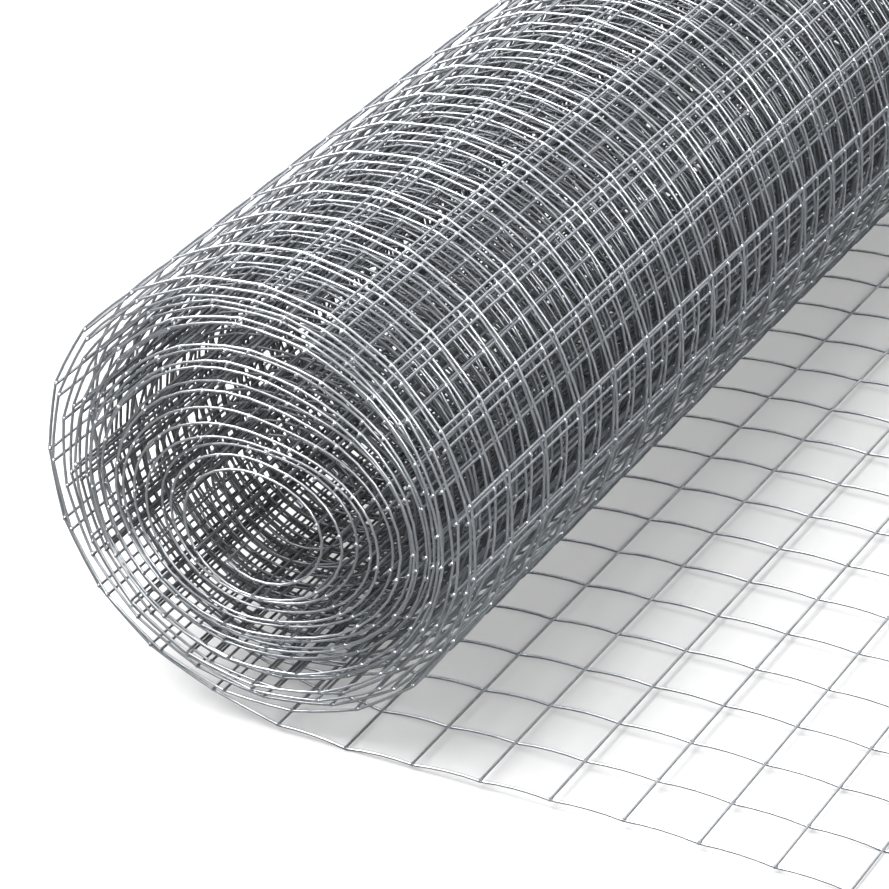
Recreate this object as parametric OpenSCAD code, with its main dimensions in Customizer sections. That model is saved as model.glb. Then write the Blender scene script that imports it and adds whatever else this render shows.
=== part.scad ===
// Roll of galvanised welded wire mesh, lying on the floor with its free end unrolled.
// +Z is up, the roll's axis runs along Y and the unrolled sheet lies towards +X.
// The origin is the centre of the base of the whole object. All sizes are in millimetres.

/* [Mesh] */
// Spacing of the wires from centre to centre, both ways
mesh_pitch = 19; // [14:0.5:25]
// Thickness of the wire
wire_d = 0.7; // [0.6:0.05:1.4]
// Depth to which the two wires of a weld are pressed into each other
weld_setdown = 0.2; // [0.1:0.05:0.4]
// Number of cells across the width of the sheet
cells_across = 26; // [8:1:30]
// Length of wire left beyond the last weld at each cut edge
edge_stub = 1; // [0.5:0.25:4]

/* [Roll] */
// Clear diameter inside the innermost turn
bore_d = 33; // [24:1:80]
// Number of turns on the roll
turns = 20; // [8:1:26]
// Mean air between one turn and the next
turn_gap = 0.9; // [0.4:0.05:1.5]
// How far the turns near the bore have sunk under their own weight
sag = 7; // [0:0.5:8]
// How far single turns stand out at each end of the roll
stagger = 3; // [0:0.5:6]
// Depth of the spiral gap between the turns in each end
gap_depth = 6; // [1:0.5:12]

/* [Unrolled sheet] */
// Height at which the springy outer turn holds the roll off the floor
roll_lift = 4.5; // [2:0.5:8]
// Angle, back from the lowest point of the roll, at which the sheet leaves it
leave_angle = 15; // [10:1:25]
// How far the sheet lies on the floor behind the axis of the roll
touch_back = 5.5; // [3:0.5:8]
// Distance from where the sheet leaves the roll to the next weld
weld_offset = 1.2; // [0.8:0.1:6]
// Number of cells that lie unrolled on the floor
cells_out = 10; // [5:1:13]
// Height by which a line wire arches up between two welds
arch_rise = 0.6; // [0.2:0.1:2]
// Height of the low wave in the unrolled sheet
wave_rise = 2; // [0:0.25:5]
// Number of cells under the low wave
wave_cells = 7; // [3:1:12]

/* [Hidden] */
steel = [0.62, 0.64, 0.66];

// Straight pieces that stand for a curve
points_per_turn = 15;
arch_pieces = 2;
// Length by which a cut runs past the faces it opens
past = 1;

// The mesh
sheet_t = 2 * wire_d - weld_setdown;
sheet_w = cells_across * mesh_pitch + 2 * edge_stub;
first_line_y = -cells_across * mesh_pitch / 2;

// The roll
turn_step = sheet_t + turn_gap;
bore_r = bore_d / 2;
roll_r = bore_r + sheet_t + turns * turn_step;
axis_h = roll_r + roll_lift;
roll_w = sheet_w + 2 * stagger;

// The sheet's path from the roll to the floor, seen from the near end, with the axis at x = 0
leave_x = -roll_r * sin(leave_angle);
leave_z = axis_h - roll_r * cos(leave_angle);
slope_run = norm([leave_x + touch_back, leave_z]);
slope = atan2(leave_z, -touch_back - leave_x);
first_weld_x = mesh_pitch + weld_offset - slope_run - touch_back;
sheet_end_x = first_weld_x + cells_out * mesh_pitch + edge_stub;

// Middle of the whole object along X
left_x = min([for (corner = outer_turn()) corner[0]]);
centre_x = (left_x + sheet_end_x) / 2;

// Angle of one straight facet between two welds at radius r
function facet_angle(r) = 2 * asin(mesh_pitch / 2 / r);

// Radius of the outside of the sheet, a degrees inwards from where it leaves the roll
function turn_r(a) = roll_r - turn_step * a / 360;

// Point at radius r, a degrees inwards, on a turn that has sunk in step with its radius
function around(r, a) =
    let (angle = -90 - leave_angle - a, sunk = sag * (roll_r - r) / (roll_r - bore_r))
    [r * cos(angle), r * sin(angle) - sunk];

// Corners of the outer turn: where the sheet leaves it, each weld, and the step down
function outer_turn() =
    let (first_weld = 2 * asin((mesh_pitch - weld_offset) / 2 / roll_r))
    concat(
        [around(turn_r(0), 0)],
        [for (a = first_weld; a < 360; a = a + facet_angle(turn_r(a))) around(turn_r(a), a)],
        [around(turn_r(360), 360)]);

// Height of the underside of the sheet at the weld j cells after the first on the floor
function weld_z(j) =
    let (share = (j - 1) / wave_cells)
    share > 0 && share < 1 ? wave_rise * sin(180 * share) : 0;

// Point on the underside of a line wire, u cells after the first weld on the floor
function underside(u) =
    let (j = min(floor(u), cells_out - 1), share = u - j)
    [first_weld_x + u * mesh_pitch,
     weld_z(j) * (1 - share) + weld_z(j + 1) * share + 4 * arch_rise * share * (1 - share)];

// Side view of one line wire, from the step in the roll to its cut end
function line_wire_side() =
    let (
        under = concat(
            [[leave_x, leave_z], [-touch_back, 0]],
            [for (k = [0:cells_out * arch_pieces]) underside(k / arch_pieces)],
            [[sheet_end_x, 0]]),
        start = [leave_x + wire_d * sin(leave_angle), leave_z + wire_d * cos(leave_angle)],
        bend = [-touch_back + wire_d * tan(slope / 2), wire_d],
        upper = [for (k = [len(under) - 1:-1:2]) under[k] + [0, wire_d]])
    concat(under, upper, [bend, start]);

// Extrudes a side view along Y, to the given width about the middle of the roll
module along_y(width, y = 0, height = 0)
    translate([-centre_x, y, height])
        rotate([90, 0, 0])
            linear_extrude(width, center = true)
                children();

// The spiral of air between the turns, from just behind the step to the innermost turn
module turn_gaps() {
    steps = (turns - 1) * points_per_turn;
    outward = [for (k = [1:steps]) 360 * k / points_per_turn];
    inward = [for (k = [steps:-1:1]) 360 * k / points_per_turn];
    outer_edge = [for (a = outward) around(turn_r(a) - sheet_t, a)];
    inner_edge = [for (a = inward) around(turn_r(a) - turn_step, a)];
    polygon(concat(outer_edge, inner_edge));
}

// The turns of the roll as one solid with its bore, and the spiral gap open at both ends
module wound_roll()
    color(steel)
        difference() {
            along_y(roll_w, 0, axis_h)
                polygon(outer_turn());
            translate([-centre_x, 0, axis_h - sag])
                rotate([90, 0, 0])
                    cylinder(r = bore_r, h = roll_w + 2 * past, center = true, $fn = 64);
            for (side = [-1, 1])
                along_y(2 * gap_depth, side * roll_w / 2, axis_h)
                    turn_gaps();
        }

// One line wire, running out from the roll under the cross wires
module line_wire(y)
    along_y(wire_d, y)
        polygon(line_wire_side());

// One cross wire, lying on the line wires j cells after the first weld on the floor
module cross_wire(j)
    along_y(sheet_w, 0, weld_z(j) + wire_d - weld_setdown)
        translate([first_weld_x + j * mesh_pitch - wire_d / 2, 0])
            square(wire_d);

// The cross wire on the slope between the roll and the floor
module sloping_cross_wire()
    along_y(sheet_w)
        translate([leave_x, leave_z])
            rotate(-slope)
                translate([weld_offset - wire_d / 2, wire_d - weld_setdown])
                    square(wire_d);

// The unrolled sheet: every line wire and cross wire, welded where they meet
module unrolled_sheet()
    color(steel)
        union() {
            for (i = [0:cells_across])
                line_wire(first_line_y + i * mesh_pitch);
            for (j = [0:cells_out])
                cross_wire(j);
            sloping_cross_wire();
        }

wound_roll();
unrolled_sheet();
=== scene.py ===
"""Looks of a roll of galvanised welded wire mesh, lying with its free end unrolled."""

import math
import random

import bpy
import numpy as np
from mathutils import Matrix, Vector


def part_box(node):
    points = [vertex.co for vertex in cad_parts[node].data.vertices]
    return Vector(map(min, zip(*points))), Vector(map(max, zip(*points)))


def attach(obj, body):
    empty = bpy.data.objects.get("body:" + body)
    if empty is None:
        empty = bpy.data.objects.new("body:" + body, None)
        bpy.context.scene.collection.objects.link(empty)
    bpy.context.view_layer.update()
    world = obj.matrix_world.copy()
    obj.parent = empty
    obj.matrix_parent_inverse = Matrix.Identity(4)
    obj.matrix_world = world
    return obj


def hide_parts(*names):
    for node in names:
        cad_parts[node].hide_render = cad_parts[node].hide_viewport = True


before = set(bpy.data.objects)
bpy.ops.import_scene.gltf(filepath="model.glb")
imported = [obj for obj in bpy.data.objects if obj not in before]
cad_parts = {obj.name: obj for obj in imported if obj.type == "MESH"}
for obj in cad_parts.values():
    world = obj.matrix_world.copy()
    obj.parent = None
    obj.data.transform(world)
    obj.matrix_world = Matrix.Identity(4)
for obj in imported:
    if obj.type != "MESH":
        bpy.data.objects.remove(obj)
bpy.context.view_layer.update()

bl_info = {
    "name": "Welded mesh roll",
    "version": (1, 0, 0),
    "blender": (4, 5, 0),
    "location": "3D View > Sidebar > Mesh roll",
    "description": "Dresses the mesh roll's solids with every wire and weld of the real sheet",
    "category": "Object",
}

MM = 0.001
# Material of every wire and weld: zinc, with painted shade on the wires deep in the roll
MATERIAL = "hot_dip_zinc_and_painted_shade"
NODES = ("wound_roll", "unrolled_sheet")

# Loose turns at the top of the roll: turn, and millimetres that it hangs below even spacing
HANGING = ((0, 0), (3, 0), (7, -3.5), (8, -0.6), (11, -0.5), (12, 2.0), (13, 1.4), (14, 3.6),
           (16, 5.7), (19, 2.9), (21, 1.0))
# Turns pushed together at the sides of the roll: turn, and millimetres that it stands out
PUSHED = ((0, 0), (2, 0.3), (4, 1.2), (12, 8.2), (14, 8.0), (17, 4.6), (20, 0.4), (21, 0))
# Part of a turn by which the inner end of the sheet runs on, the turns over which it curls
# in, and how far
INNER_END = 0.13
CURL_TURNS = 1.2
INNER_CURL = 3.6
# How round the outer turn is between two welds, and how much rounder the inner turns are
OUTER_ROUNDNESS = 0.35
INNER_ROUNDNESS = 0.9
# Furthest that single turns stand out at the ends of the roll, in millimetres
MOST_DRIFT = 2.6
# Keeps every wire just inside the solids, in millimetres
INSET = 0.02
# Parts of a turn from where the sheet leaves the roll to its left side, top and right side
LEFT_SHARE = 0.21
TOP_SHARE = 0.46
RIGHT_SHARE = 0.71

# Straight pieces of a line wire in a cell: on the floor, on the wide turns and on the tight
# turns, which are those inside the given radius
FLOOR_PIECES = 4
WIDE_PIECES = 3
TIGHT_PIECES = 5
TIGHT_RADIUS = 30
WIRE_SIDES = 6
# Size of a weld lump in wire thicknesses: along the sheet, across it and through it
WELD_SIZE = (1.9, 1.9, 1.45)

# Painted shade inside the roll, a dark colour mixed over the zinc of the deeper wires, in
# millimetres: the depths at which it starts and is full, how far its middle lies from the roll's
# axis, along x and z, and the depth that the ends count as. The middle lies to the left and
# low, so that the left and lower turns count as deeper and get more painted shade.
SHADE_DEPTHS = (1.5, 13.0)
SHADE_MIDDLE = (-3.0, -1.0)
END_DEPTH = 5.5
# The most painted shade, as a share of the dark colour mixed over the zinc
MOST_SHADE = 0.86
# Colour of the painted shade on the wires deep in the roll
PAINTED_SHADE_COLOUR = (0.068, 0.071, 0.076, 1.0)

# The floor as the zinc reflects it, and its own glow, which turns it plain white away from
# the roll, so that it has no horizon: metres from the middle, and strength
REFLECTED_FLOOR = (0.11, 0.11, 0.11, 1.0)
GLOW_DISTANCES = (0.5, 1.4)
GLOW_STRENGTHS = (0.22, 1.0)
SKY = (0.93, 0.96, 1.0, 1.0)
SKY_STRENGTH = 0.19
WHITE = (1.0, 1.0, 1.0, 1.0)
# Lamps: place and size in metres, and power in watts
LAMPS = {"key": ((-0.75, -0.4, 1.6), (2.0, 2.0), 114.0),
         "fill": ((1.2, -1.3, 1.0), (0.6, 0.6), 22.0),
         "back": ((0.1, 2.3, 1.6), (2.0, 0.8), 9.0)}
# The camera: azimuth, elevation and roll in degrees, and its place in cells from the weld
# at the near edge of the sheet
CAMERA_TURN = (27.99, 29.003, -0.423)
CAMERA_PLACE = (25.166, -42.692, 31.592)
CAMERA_LENS = 184.70


# Sizes and finish that a user may change

class MeshRollSheet(bpy.types.PropertyGroup):
    """Sizes of the welded sheet"""
    pitch: bpy.props.FloatProperty(
        name="Cell", description="Spacing of the wires, both ways",
        default=19 * MM, unit="LENGTH")
    wire: bpy.props.FloatProperty(
        name="Wire", description="Thickness of the wire",
        default=0.7 * MM, unit="LENGTH")
    setdown: bpy.props.FloatProperty(
        name="Weld depth", description="Depth to which two welded wires are pressed together",
        default=0.2 * MM, unit="LENGTH")
    stub: bpy.props.FloatProperty(
        name="Stub", description="Wire left beyond the last weld at a cut edge",
        default=1 * MM, unit="LENGTH")
    cells_across: bpy.props.IntProperty(
        name="Cells across", description="Cells across the width of the sheet", default=26)
    cells_out: bpy.props.IntProperty(
        name="Cells out", description="Cells that lie unrolled on the floor", default=10)
    arch: bpy.props.FloatProperty(
        name="Arch", description="Rise of a line wire between two welds on the floor",
        default=0.6 * MM, unit="LENGTH")
    wave: bpy.props.FloatProperty(
        name="Wave", description="Height of the low wave in the unrolled sheet",
        default=2 * MM, unit="LENGTH")
    wave_cells: bpy.props.IntProperty(
        name="Wave cells", description="Number of cells under the low wave", default=7)


class MeshRollCoil(bpy.types.PropertyGroup):
    """Sizes of the wound turns"""
    bore: bpy.props.FloatProperty(
        name="Bore", description="Clear diameter inside the innermost turn",
        default=33 * MM, unit="LENGTH")
    turns: bpy.props.IntProperty(name="Turns", description="Turns on the roll", default=20)
    gap: bpy.props.FloatProperty(
        name="Gap", description="Mean air between two turns",
        default=0.9 * MM, unit="LENGTH")
    sag: bpy.props.FloatProperty(
        name="Sag", description="How far the inner turns have sunk",
        default=7 * MM, unit="LENGTH")
    lift: bpy.props.FloatProperty(
        name="Lift", description="Height of the roll above the floor",
        default=4.5 * MM, unit="LENGTH")
    leave: bpy.props.FloatProperty(
        name="Leaving angle", description="Angle behind the lowest point where the sheet leaves",
        default=math.radians(15), subtype="ANGLE", unit="ROTATION")
    touch: bpy.props.FloatProperty(
        name="Touch", description="How far behind the axis the sheet meets the floor",
        default=5.5 * MM, unit="LENGTH")
    offset: bpy.props.FloatProperty(
        name="Weld offset", description="From where the sheet leaves the roll to the next weld",
        default=1.2 * MM, unit="LENGTH")
    spring: bpy.props.FloatProperty(
        name="Spring", description="Height at which the first weld past the roll is held up",
        default=1.4 * MM, unit="LENGTH")
    slide: bpy.props.FloatProperty(
        name="Slide", description="How far the inner turns have slid towards the near end",
        default=0.8 * MM, unit="LENGTH")


class MeshRollFinish(bpy.types.PropertyGroup):
    """Colours of the zinc"""
    bright: bpy.props.FloatVectorProperty(
        name="Bright zinc", description="Colour of the smooth zinc",
        default=(0.84, 0.87, 0.90), size=3, subtype="COLOR")
    dull: bpy.props.FloatVectorProperty(
        name="Dull zinc", description="Colour of the zinc with its grey bloom",
        default=(0.52, 0.54, 0.57), size=3, subtype="COLOR")
    floor: bpy.props.FloatVectorProperty(
        name="Floor", description="Colour of the floor",
        default=(0.445, 0.445, 0.445), size=3, subtype="COLOR")


# The shape of the sheet

def ripple(seed, count, along, across, size):
    """A smooth random field over the sheet: along in cells, across in millimetres."""
    draw = random.Random(seed)
    terms = []
    for _ in range(count):
        terms.append((
            2 * math.pi / draw.uniform(*along), draw.uniform(0, 2 * math.pi),
            2 * math.pi / draw.uniform(*across), draw.uniform(0, 2 * math.pi),
            draw.uniform(0.6, 1.0)))
    scale = size / math.sqrt(sum(t[4] ** 2 for t in terms) / 4)

    def value(u, y):
        total = 0
        for ku, pu, ky, py, weight in terms:
            total = total + weight * np.sin(ku * u + pu) * np.sin(ky * y + py)
        return total * scale

    return value


class Sheet:
    """The sheet's path from the bore to its free end, in millimetres.

    A place on the sheet is u, in cells from the first weld that lies on the floor (negative
    on the roll), y along the roll's axis, and a height above the middle of the line wires
    towards the inside of the roll.
    """

    def __init__(self, scene):
        sheet, coil = scene.mesh_roll_sheet, scene.mesh_roll_coil
        self.pitch = sheet.pitch / MM
        self.wire = sheet.wire / MM
        self.stub = sheet.stub / MM
        self.cells_across = sheet.cells_across
        self.cells_out = sheet.cells_out
        self.arch = sheet.arch / MM
        self.wave = sheet.wave / MM
        self.wave_cells = sheet.wave_cells
        self.cross_height = self.wire - sheet.setdown / MM
        self.thickness = 2 * self.wire - sheet.setdown / MM
        self.step = self.thickness + coil.gap / MM
        self.bore_r = coil.bore / MM / 2
        self.roll_r = self.bore_r + self.thickness + coil.turns * self.step
        self.turns = coil.turns
        self.axis_z = self.roll_r + coil.lift / MM
        self.sag = coil.sag / MM
        self.leave = coil.leave
        self.touch = coil.touch / MM
        self.offset = coil.offset / MM
        self.slide = coil.slide / MM
        self.spring = coil.spring / MM
        self.width = self.cells_across * self.pitch
        self.lines = [i * self.pitch - self.width / 2 for i in range(self.cells_across + 1)]

        low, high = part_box("unrolled_sheet")
        end_x = high[0] / MM
        leave_x = -self.roll_r * math.sin(self.leave)
        self.leave_z = self.axis_z - self.roll_r * math.cos(self.leave)
        slope_run = math.hypot(leave_x + self.touch, self.leave_z)
        first_weld = self.pitch + self.offset - slope_run - self.touch
        self.axis_x = end_x - self.stub - self.cells_out * self.pitch - first_weld
        self.leave_x = self.axis_x + leave_x
        self.first_weld_x = self.axis_x + first_weld
        # The sheet springs straight from the roll to the first weld, so less of it is used
        self.leave_u = -math.hypot(self.first_weld_x - self.leave_x,
                                   self.leave_z - self.spring) / self.pitch

        self.knots, self.knot_angles = self._wind()
        self.wound = len(self.knots)

        # Dents, turns that wander in and out, drift along the axis and slip along the sheet
        self.bumps = ripple(seed=11, count=9, along=(3.0, 9.0), across=(400, 1500), size=0.12)
        self.wander = ripple(seed=15, count=9, along=(9.0, 30.0), across=(1500, 5000), size=0.35)
        self.sway = ripple(seed=12, count=9, along=(11.0, 45.0), across=(900, 3000), size=1.2)
        self.creep = ripple(seed=13, count=7, along=(4.0, 14.0), across=(400, 1500), size=0.35)

    def turn_r(self, angle):
        """Radius of the outside of the sheet, an angle inwards from where it leaves."""
        return self.roll_r - self.step * angle / (2 * math.pi)

    def _centre(self, angle, flat=1.0):
        """Middle of a line wire at an angle: x, z, its direction from the axis, its depth."""
        radius = self.turn_r(angle)
        depth = (self.roll_r - radius) / (self.roll_r - self.bore_r)
        way = -math.pi / 2 - self.leave - angle
        turn = angle / (2 * math.pi)
        curl = np.clip((turn - self.turns - INNER_END) / CURL_TURNS + 1, 0, 1)
        left = np.interp(turn - LEFT_SHARE, *zip(*PUSHED)) * ((1 - np.cos(way)) / 2) ** 2
        right = np.interp(turn - RIGHT_SHARE, *zip(*PUSHED)) * np.clip(np.cos(way), 0, 1) ** 2
        hang = np.interp(turn - TOP_SHARE, *zip(*HANGING)) * ((1 + np.sin(way)) / 2) ** 2
        radius = (radius - self.wire / 2) * flat - INNER_CURL * curl ** 2 + left + right
        x = self.axis_x + radius * np.cos(way)
        z = self.axis_z + radius * np.sin(way) - self.sag * depth - hang
        return x, z, way, depth

    def _wind(self):
        """Where the sheet leaves the roll and each weld from there in: its u and its angle."""
        cells, angles = [self.leave_u, -2.0], [0.0]
        chord = (self.leave_u + 2) * self.pitch
        while True:
            x, z, _, _ = self._centre(angles[-1])
            step = chord / self.turn_r(angles[-1])
            # A few rounds bring the next weld to its true distance
            for _ in range(6):
                next_x, next_z, _, _ = self._centre(angles[-1] + step)
                step *= chord / math.hypot(next_x - x, next_z - z)
            angles.append(angles[-1] + step)
            if angles[-1] > (self.turns + INNER_END) * 2 * math.pi:
                return np.array(cells[:-1]), np.array(angles[:-1])
            cells.append(cells[-1] - 1)
            chord = self.pitch

    def _on_roll(self, u):
        """Point and inward normal on the roll."""
        first = np.clip(np.searchsorted(-self.knots, -u, side="right") - 1, 0, self.wound - 2)
        share = (self.knots[first] - u) / (self.knots[first] - self.knots[first + 1])
        start = self.knot_angles[first]
        sector = self.knot_angles[first + 1] - start
        angle = start + sector * share
        # Between two welds a large turn is nearly straight, and a tight one is an arc
        roundness = OUTER_ROUNDNESS + INNER_ROUNDNESS * angle / self.knot_angles[-1]
        roundness = np.clip(roundness, 0, 1)
        chord = np.cos(sector / 2) / np.cos((share - 0.5) * sector)
        x, z, way, depth = self._centre(angle, roundness + (1 - roundness) * chord)
        return x, z, -np.cos(way), -np.sin(way), depth

    def weld_z(self, j):
        """Height of the underside of the sheet at the weld j cells after the first."""
        share = (j - 1) / self.wave_cells
        inside = (share > 0) & (share < 1)
        wave = np.where(inside, self.wave * np.sin(math.pi * np.clip(share, 0, 1)), 0)
        return np.where(j < 1, self.spring * (1 - j), wave)

    def _on_floor(self, u):
        """Point and upward normal on the unrolled part."""
        j = np.minimum(np.floor(u), self.cells_out - 1)
        share = np.clip(u - j, 0, 1)
        z = self.weld_z(j) * (1 - share) + self.weld_z(j + 1) * share
        z = z + 4 * self.arch * share * (1 - share) + self.wire / 2
        return self.first_weld_x + u * self.pitch, z

    def _on_slope(self, u):
        """Point and normal between the roll and the floor, where the sheet is springy."""
        share = (u - self.leave_u) / -self.leave_u
        run = self.first_weld_x - self.leave_x
        drop = self.leave_z - self.spring
        lean = math.atan2(drop, run) * (1 - share ** 3)
        x = self.leave_x + share * run
        z = self.leave_z - drop * share
        nx, nz = np.sin(lean), np.cos(lean)
        return x + nx * self.wire / 2, z + nz * self.wire / 2, nx, nz

    def place(self, u, y, height=0.0):
        """Points of the sheet, with its dents and drift, as an array of x, y, z."""
        u = np.asarray(u, dtype=float)
        y = np.asarray(y, dtype=float)
        u, y = np.broadcast_arrays(u, y)
        rx, rz, rnx, rnz, depth = self._on_roll(np.minimum(u, self.leave_u))
        sx, sz, snx, snz = self._on_slope(np.clip(u, self.leave_u, 0))
        fx, fz = self._on_floor(np.maximum(u, 0))
        wound, sloped = u <= self.leave_u, u < 0
        x = np.where(wound, rx, np.where(sloped, sx, fx))
        z = np.where(wound, rz, np.where(sloped, sz, fz))
        nx = np.where(wound, rnx, np.where(sloped, snx, 0))
        nz = np.where(wound, rnz, np.where(sloped, snz, 1))
        # Dents push inwards only, so that the outer turn stays within the solid, and fade
        # where the sheet bends to the floor. Only turns behind the outer one wander.
        inwards = np.abs(self.bumps(u, y)) * np.where(u < 0, 1.0, 0.6)
        inwards = INSET + inwards * np.clip(np.abs(u + 0.5) / 1.5, 0, 1)
        inwards = inwards + self.wander(u, y) * np.clip(-u / 20 - 0.8, 0, 1)
        # Drift along the axis grows over the first cells of the roll, and slip along the
        # sheet fades towards its free end
        depth = np.where(wound, depth, 0)
        drift = -self.slide * depth + self.sway(u, y) * np.clip(-u / 12, 0.15, 1)
        drift = MOST_DRIFT * np.tanh(drift / MOST_DRIFT)
        slip = self.creep(u, y) * np.clip((self.cells_out - u) / 3, 0, 1)
        x = x + nx * (height + inwards) + nz * slip
        z = z + nz * (height + inwards) - nx * slip
        return np.stack([x, y + drift, z], axis=-1)

    def samples(self):
        """Values of u along a line wire, finer where the turns are tight."""
        values = [self.cells_out + (self.stub - INSET) / self.pitch]
        for cell in range(self.cells_out, -self.wound, -1):
            if cell > -1:
                pieces = FLOOR_PIECES
            else:
                radius = self.turn_r(self.knot_angles[-cell - 1])
                pieces = WIDE_PIECES if radius > TIGHT_RADIUS else TIGHT_PIECES
            values.extend(cell - part / pieces for part in range(pieces))
        values.append(-self.wound)
        return np.array(values)


# Making meshes

def clear_selection():
    """Deselect everything, so that the next operator acts on its own piece alone."""
    for obj in bpy.context.selected_objects:
        obj.select_set(False)
    bpy.context.view_layer.objects.active = None


def wires(name, paths, thickness):
    """Round wires along the paths, made as one bevelled curve and turned into a mesh."""
    clear_selection()
    bpy.ops.curve.primitive_bezier_curve_add(location=(0, 0, 0))
    obj = bpy.context.object
    obj.name = name
    curve = obj.data
    curve.name = name
    curve.splines.clear()
    for path in paths:
        spline = curve.splines.new("POLY")
        spline.points.add(len(path) - 1)
        spline.points.foreach_set("co", np.c_[path * MM, np.ones(len(path))].ravel())
        spline.use_smooth = True
    curve.dimensions = "3D"
    curve.twist_mode = "MINIMUM"
    curve.bevel_depth = thickness * MM / 2
    curve.bevel_resolution = (WIRE_SIDES - 4) // 2
    curve.use_fill_caps = True
    bpy.ops.object.convert(target="MESH")
    obj = bpy.context.object
    obj.data.name = name
    bpy.ops.object.shade_smooth_by_angle(angle=math.radians(75))
    return obj


def finish_piece(obj, material):
    obj.data.materials.clear()
    obj.data.materials.append(material)
    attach(obj, "root")
    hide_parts(*NODES)


# Materials

class Value:
    """A socket that shader maths can be written with."""

    def __init__(self, tree, socket):
        self.tree = tree
        self.socket = socket

    def _math(self, operation, *others, swap=False):
        node = self.tree.nodes.new("ShaderNodeMath")
        node.operation = operation
        values = [self, *others]
        if swap:
            values.reverse()
        for slot, value in zip(node.inputs, values):
            if isinstance(value, Value):
                self.tree.links.new(value.socket, slot)
            else:
                slot.default_value = value
        return Value(self.tree, node.outputs[0])

    def __add__(self, other):
        return self._math("ADD", other)

    def __radd__(self, other):
        return self._math("ADD", other)

    def __sub__(self, other):
        return self._math("SUBTRACT", other)

    def __rsub__(self, other):
        return self._math("SUBTRACT", other, swap=True)

    def __mul__(self, other):
        return self._math("MULTIPLY", other)

    def __rmul__(self, other):
        return self._math("MULTIPLY", other)

    def minimum(self, other):
        return self._math("MINIMUM", other)

    def absolute(self):
        return self._math("ABSOLUTE")

    def clamp(self):
        return self._math("MAXIMUM", 0.0)._math("MINIMUM", 1.0)


class Shader:
    """The node tree of a material or a world, emptied."""

    def __init__(self, owner):
        owner.use_nodes = True
        self.tree = owner.node_tree
        self.tree.nodes.clear()

    def node(self, kind, settings=None, inputs=None, output=0):
        """One node: its settings first, then the values or links of its sockets."""
        node = self.tree.nodes.new(kind)
        for key, value in (settings or {}).items():
            setattr(node, key, value)
        for key, value in (inputs or {}).items():
            slot = node.inputs[key]
            if isinstance(value, Value):
                self.tree.links.new(value.socket, slot)
            else:
                slot.default_value = value
        return Value(self.tree, node.outputs[output]) if node.outputs else node


def zinc(scene):
    """Hot-dip galvanised wire: smooth bright zinc with dull patches and small runs, and painted
    shade deep in the roll.
    """
    finish = scene.mesh_roll_finish
    sheet = Sheet(scene)
    material = bpy.data.materials.new(MATERIAL)
    shader = Shader(material)
    place = shader.node("ShaderNodeTexCoord", output="Object")
    # How deep a place lies in the roll, from its outside or from its nearer end, which sets how
    # much painted shade it gets
    middle_x, middle_z = SHADE_MIDDLE
    to_middle = (-(sheet.axis_x + middle_x) * MM, 0.0, -(sheet.axis_z + middle_z) * MM)
    from_middle = shader.node("ShaderNodeVectorMath", {"operation": "MULTIPLY_ADD"}, {
        0: place, 1: (1.0, 0.0, 1.0), 2: to_middle})
    radius = shader.node("ShaderNodeVectorMath", {"operation": "LENGTH"}, {
        0: from_middle}, output="Value")
    along = shader.node("ShaderNodeSeparateXYZ", inputs={0: place}, output="Y")
    end = (sheet.width / 2 + END_DEPTH) * MM - along.absolute()
    shade_from, shade_full = SHADE_DEPTHS
    # Painted shade: the share of a dark colour mixed over the zinc, growing with depth in the
    # roll
    shade = shader.node("ShaderNodeMapRange", {"interpolation_type": "SMOOTHSTEP"}, {
        "Value": (sheet.roll_r * MM - radius).minimum(end),
        "From Min": shade_from * MM, "From Max": shade_full * MM,
        "To Min": 0.0, "To Max": MOST_SHADE})
    patches = shader.node("ShaderNodeTexNoise", inputs={
        "Vector": place, "Scale": 85.0, "Detail": 3.0, "Roughness": 0.6})
    grain = shader.node("ShaderNodeTexNoise", inputs={
        "Vector": place, "Scale": 900.0, "Detail": 2.0, "Roughness": 0.6})
    dullness = ((patches - 0.5) * 2.4 + (grain - 0.5) * 1.1 + 0.45).clamp()
    colour = shader.node("ShaderNodeMix", {"data_type": "RGBA"}, {
        0: dullness, 6: (*finish.bright, 1.0), 7: (*finish.dull, 1.0)}, output=2)
    runs = shader.node("ShaderNodeTexNoise", inputs={
        "Vector": place, "Scale": 420.0, "Detail": 2.0, "Roughness": 0.5})
    bump = shader.node("ShaderNodeBump", inputs={
        "Strength": 0.35, "Distance": 0.0001, "Height": runs})
    body = shader.node("ShaderNodeBsdfPrincipled", inputs={
        "Base Color": colour, "Metallic": 1.0, "Roughness": 0.3 + 0.2 * dullness,
        "Normal": bump})
    # The dark matt surface that is mixed over the zinc as painted shade
    painted_shade_surface = shader.node("ShaderNodeBsdfDiffuse", inputs={
        "Color": PAINTED_SHADE_COLOUR, "Roughness": 0.0})
    # The zinc, darkened by the painted shade where the wires lie deep
    both = shader.node("ShaderNodeMixShader", inputs={0: shade, 1: body, 2: painted_shade_surface})
    shader.node("ShaderNodeOutputMaterial", inputs={"Surface": both})
    return material


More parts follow.
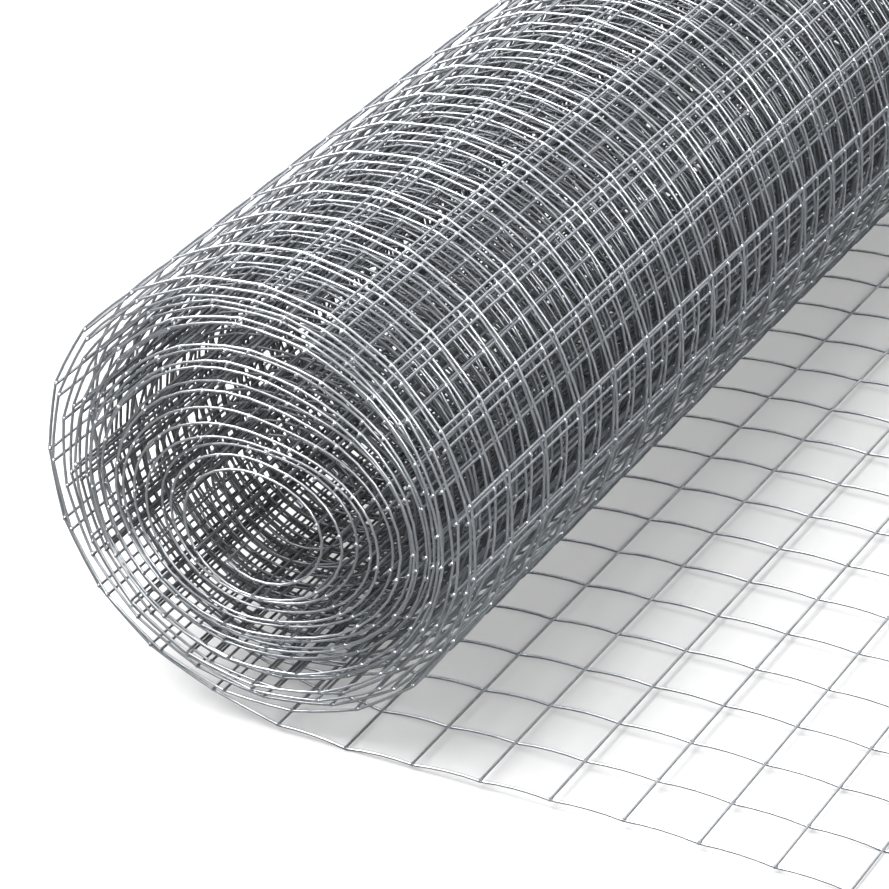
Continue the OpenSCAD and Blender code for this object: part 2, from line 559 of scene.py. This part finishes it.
def pale_floor(scene):
    """A matt floor that keeps the roll's shadow and turns plain white further away."""
    material = bpy.data.materials.new("pale_floor")
    shader = Shader(material)
    camera_ray = shader.node("ShaderNodeLightPath", output="Is Camera Ray")
    place = shader.node("ShaderNodeTexCoord", output="Object")
    away = shader.node("ShaderNodeVectorMath", {"operation": "LENGTH"}, {
        0: place}, output="Value")
    glow = shader.node("ShaderNodeMapRange", {"interpolation_type": "SMOOTHSTEP"}, {
        "Value": away, "From Min": GLOW_DISTANCES[0], "From Max": GLOW_DISTANCES[1],
        "To Min": GLOW_STRENGTHS[0], "To Max": GLOW_STRENGTHS[1]})
    white = shader.node("ShaderNodeEmission", inputs={
        "Color": WHITE, "Strength": camera_ray * glow})
    glossy_ray = shader.node("ShaderNodeLightPath", output="Is Glossy Ray")
    tone = shader.node("ShaderNodeMix", {"data_type": "RGBA"}, {
        0: glossy_ray, 6: (*scene.mesh_roll_finish.floor, 1.0), 7: REFLECTED_FLOOR}, output=2)
    matt = shader.node("ShaderNodeBsdfDiffuse", inputs={"Color": tone, "Roughness": 0.0})
    both = shader.node("ShaderNodeAddShader", inputs={0: matt, 1: white})
    shader.node("ShaderNodeOutputMaterial", inputs={"Surface": both})
    return material


def studio():
    """A world with a low, plain light, which the camera sees as white."""
    world = bpy.data.worlds.new("studio")
    shader = Shader(world)
    camera_ray = shader.node("ShaderNodeLightPath", output="Is Camera Ray")
    sky = shader.node("ShaderNodeBackground", inputs={"Color": SKY, "Strength": SKY_STRENGTH})
    backdrop = shader.node("ShaderNodeBackground", inputs={"Color": WHITE, "Strength": 1.0})
    both = shader.node("ShaderNodeMixShader", inputs={0: camera_ray, 1: sky, 2: backdrop})
    shader.node("ShaderNodeOutputWorld", inputs={"Surface": both})
    return world


# Operators

class MESHROLL_OT_line_wires(bpy.types.Operator):
    """Make the line wires, which run round the roll and out over the floor"""
    bl_idname = "mesh_roll.line_wires"
    bl_label = "Line wires"

    def execute(self, context):
        sheet = Sheet(context.scene)
        material = bpy.data.materials[MATERIAL]
        u = sheet.samples()
        groups = {"near_line_wires": (0, 9), "middle_line_wires": (9, 18),
                  "far_line_wires": (18, sheet.cells_across + 1)}
        for name, (first, last) in groups.items():
            paths = [sheet.place(u, y) for y in sheet.lines[first:last]]
            finish_piece(wires(name, paths, sheet.wire), material)
        return {"FINISHED"}


class MESHROLL_OT_cross_wires(bpy.types.Operator):
    """Make the cross wires, which lie along the roll inside the line wires"""
    bl_idname = "mesh_roll.cross_wires"
    bl_label = "Cross wires"

    def execute(self, context):
        sheet = Sheet(context.scene)
        material = bpy.data.materials[MATERIAL]
        half = sheet.width / 2
        y = np.array([-half - sheet.stub, *sheet.lines, half + sheet.stub])
        groups = {"wound_cross_wires": range(-sheet.wound, 0),
                  "unrolled_cross_wires": range(0, sheet.cells_out + 1)}
        for name, cells in groups.items():
            paths = [sheet.place(float(cell), y, sheet.cross_height) for cell in cells]
            finish_piece(wires(name, paths, sheet.wire), material)
        return {"FINISHED"}


class MESHROLL_OT_welds(bpy.types.Operator):
    """Make the small flattened lump of metal at every weld"""
    bl_idname = "mesh_roll.welds"
    bl_label = "Welds"

    def execute(self, context):
        sheet = Sheet(context.scene)
        material = bpy.data.materials[MATERIAL]
        clear_selection()
        bpy.ops.mesh.primitive_ico_sphere_add(subdivisions=1, radius=0.5, location=(0, 0, 0))
        lump = bpy.context.object
        corners = np.array([v.co[:] for v in lump.data.vertices])
        faces = np.array([p.vertices[:] for p in lump.data.polygons])
        bpy.data.objects.remove(lump)
        groups = {"wound_welds": range(-sheet.wound, 0),
                  "unrolled_welds": range(0, sheet.cells_out + 1)}
        lines = np.array(sheet.lines)
        for name, cells in groups.items():
            cells = np.array(list(cells), dtype=float)
            u, y = [grid.ravel() for grid in np.meshgrid(cells, lines, indexing="ij")]
            low, high = sheet.place(u, y), sheet.place(u, y, sheet.cross_height)
            up = (high - low) / sheet.cross_height
            along = np.stack([up[:, 2], 0 * up[:, 0], -up[:, 0]], axis=-1)
            across = np.stack([0 * up[:, 0], 1 + 0 * up[:, 0], 0 * up[:, 0]], axis=-1)
            draw = np.random.default_rng(21)
            size = draw.uniform(0.9, 1.15, (len(u), 3)) * WELD_SIZE * sheet.wire
            verts = ((low + high) / 2)[:, None, :]
            for part, way in enumerate((along, across, up)):
                verts = verts + corners[None, :, part, None] * (
                    size[:, part, None, None] * way[:, None, :])
            tris = faces[None] + (np.arange(len(u)) * len(corners))[:, None, None]
            mesh = bpy.data.meshes.new(name)
            mesh.from_pydata((verts.reshape(-1, 3) * MM).tolist(), [],
                             tris.reshape(-1, 3).tolist())
            obj = bpy.data.objects.new(name, mesh)
            context.collection.objects.link(obj)
            clear_selection()
            obj.select_set(True)
            context.view_layer.objects.active = obj
            bpy.ops.object.shade_smooth()
            finish_piece(obj, material)
        return {"FINISHED"}


class MESHROLL_OT_stage(bpy.types.Operator):
    """Set the floor, the lamps and the camera"""
    bl_idname = "mesh_roll.stage"
    bl_label = "Stage"

    def execute(self, context):
        scene = context.scene
        scene.view_settings.view_transform = "Standard"
        clear_selection()
        bpy.ops.mesh.primitive_plane_add(size=9.0, location=(0, 0, 0))
        floor = context.object
        floor.name = "floor"
        floor.data.materials.append(pale_floor(scene))
        scene.world = studio()
        for name, (place, size, power) in LAMPS.items():
            lamp(name, place, size, power)
        camera(scene)
        return {"FINISHED"}


def lamp(name, place, size, power):
    """A soft box that faces the roll."""
    clear_selection()
    bpy.ops.object.light_add(type="AREA", location=place)
    light = bpy.context.object
    light.name = name
    light.data.shape = "RECTANGLE"
    light.data.size, light.data.size_y = size
    light.data.energy = power
    light.rotation_euler = (-light.location).to_track_quat("-Z", "Y").to_euler()


def camera(scene):
    """A camera at the photograph's viewing angle, solved from the cells on the floor."""
    sheet = Sheet(scene)
    azimuth, elevation, roll = (math.radians(angle) for angle in CAMERA_TURN)
    corner = (sheet.first_weld_x, -sheet.width / 2, sheet.wire)
    bpy.ops.object.camera_add()
    eye = bpy.context.object
    eye.name = "photo_camera"
    eye.data.lens = CAMERA_LENS
    eye.data.sensor_width = 36.0
    eye.data.clip_start = 0.01
    eye.data.clip_end = 50.0
    turn = Matrix.Rotation(azimuth, 3, "Z") @ Matrix.Rotation(
        math.pi / 2 - elevation, 3, "X") @ Matrix.Rotation(roll, 3, "Z")
    matrix = turn.to_4x4()
    matrix.translation = [(edge + cells * sheet.pitch) * MM
                          for edge, cells in zip(corner, CAMERA_PLACE)]
    eye.matrix_world = matrix
    scene.camera = eye


class MESHROLL_PT_panel(bpy.types.Panel):
    """Lists the steps and sizes of the mesh roll"""
    bl_idname = "MESHROLL_PT_panel"
    bl_label = "Mesh roll"
    bl_space_type = "VIEW_3D"
    bl_region_type = "UI"
    bl_category = "Mesh roll"

    def draw(self, context):
        layout = self.layout
        for group in (context.scene.mesh_roll_sheet, context.scene.mesh_roll_coil,
                      context.scene.mesh_roll_finish):
            box = layout.box()
            for key in group.__annotations__:
                box.prop(group, key)
        for step in STEPS:
            layout.operator(step.bl_idname)


GROUPS = {"mesh_roll_sheet": MeshRollSheet, "mesh_roll_coil": MeshRollCoil,
          "mesh_roll_finish": MeshRollFinish}
STEPS = (MESHROLL_OT_stage, MESHROLL_OT_line_wires, MESHROLL_OT_cross_wires,
         MESHROLL_OT_welds)
CLASSES = (*GROUPS.values(), *STEPS, MESHROLL_PT_panel)


def register():
    for cls in CLASSES:
        bpy.utils.register_class(cls)
    for name, cls in GROUPS.items():
        setattr(bpy.types.Scene, name, bpy.props.PointerProperty(type=cls))


def unregister():
    for name in GROUPS:
        delattr(bpy.types.Scene, name)
    for cls in reversed(CLASSES):
        bpy.utils.unregister_class(cls)


def main():
    """Make the whole scene in order."""
    register()
    zinc(bpy.context.scene)
    bpy.ops.mesh_roll.stage()
    bpy.ops.mesh_roll.line_wires()
    bpy.ops.mesh_roll.cross_wires()
    bpy.ops.mesh_roll.welds()


if __name__ == "__main__":
    main()
